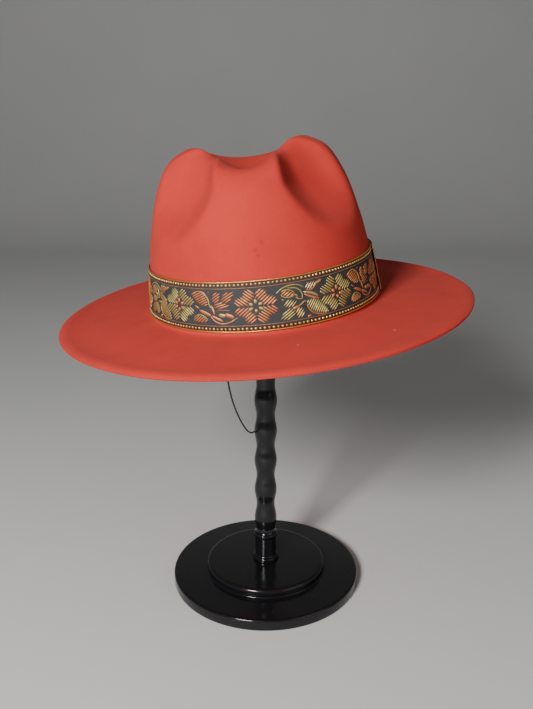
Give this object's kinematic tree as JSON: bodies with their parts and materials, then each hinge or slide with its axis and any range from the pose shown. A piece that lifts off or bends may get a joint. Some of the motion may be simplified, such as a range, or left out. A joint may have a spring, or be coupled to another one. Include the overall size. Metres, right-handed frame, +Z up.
{
  "type": "fedora on a turned hat stand",
  "caption": "Felt fedora with pinched front, creased crown, flat brim and a woven floral ribbon, resting on a turned hat stand with a stepped round foot.",
  "frame": {"origin": "centre of the underside of the stand's round foot", "axes": "+Z up along the stand's post, -Y towards the hat's front, +X towards the wearer's left"},
  "size_m": [0.3033, 0.3335, 0.3565],
  "materials": {
    "felt": "coral red wool felt, matte and softly napped",
    "ribbon": "charcoal woven ribbon with copper and green-gold metallic thread",
    "cord": "black cord",
    "lacquer": "turned wood in glossy black lacquer"
  },
  "bodies": {
    "root": {"felt_body": "felt", "ribbon_band": "ribbon", "hang_cord": "cord", "stand_base": "lacquer", "stand_post": "lacquer", "stand_top": "lacquer"}
  },
  "joints": []
}
